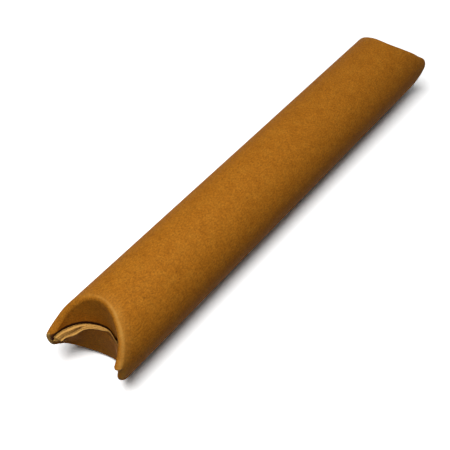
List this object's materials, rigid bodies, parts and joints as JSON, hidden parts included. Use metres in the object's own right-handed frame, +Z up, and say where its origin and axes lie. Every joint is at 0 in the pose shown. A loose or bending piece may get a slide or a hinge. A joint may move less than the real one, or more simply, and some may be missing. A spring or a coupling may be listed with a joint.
{
  "type": "cardboard mailing tube",
  "caption": "Kraft mailing tube with both ends closed by curved flaps that fold into the bore, lying on its side",
  "frame": {"origin": "on the surface that the tube lies on, under the middle of its length", "axes": "+Y runs along the tube, away from the end that the picture shows in full; +Z is up; +X is to the right of that end"},
  "size_m": [0.0422, 0.2792, 0.0422],
  "materials": {
    "kraft_board": "matte"
  },
  "bodies": {
    "root": {"mailing_tube": "kraft_board"}
  },
  "joints": []
}
